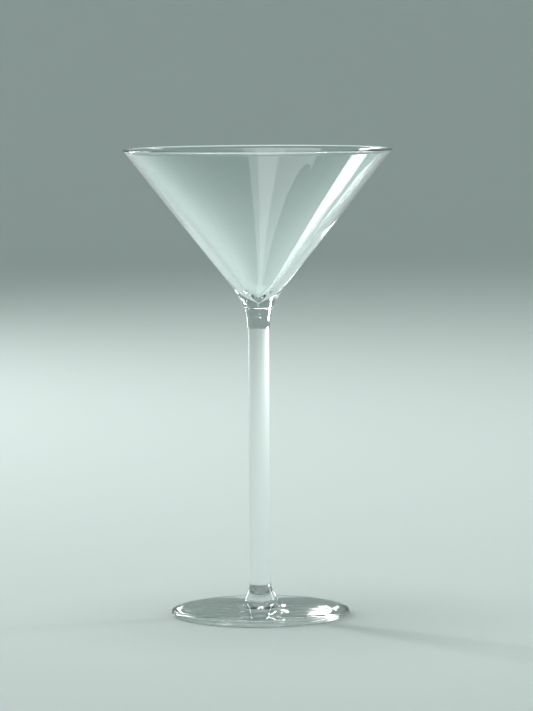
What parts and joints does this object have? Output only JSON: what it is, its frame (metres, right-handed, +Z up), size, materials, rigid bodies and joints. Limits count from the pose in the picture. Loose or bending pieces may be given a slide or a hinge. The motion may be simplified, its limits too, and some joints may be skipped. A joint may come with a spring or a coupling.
{
  "type": "martini glass",
  "caption": "Stemmed cocktail glass in clear glass: a wide conical bowl on a straight solid rod stem, with flared collars and a flat round foot.",
  "frame": {"origin": "centre of the foot's underside, on the table", "axes": "+Z up along the axis of the glass, from the foot to the rim; X and Y are equivalent"},
  "size_m": [0.11, 0.11, 0.1913],
  "materials": {
    "clear_glass": "clear, smooth, fire-polished"
  },
  "bodies": {
    "root": {"bowl": "clear_glass", "upper_collar": "clear_glass", "stem": "clear_glass", "lower_collar": "clear_glass", "foot": "clear_glass"}
  },
  "joints": []
}
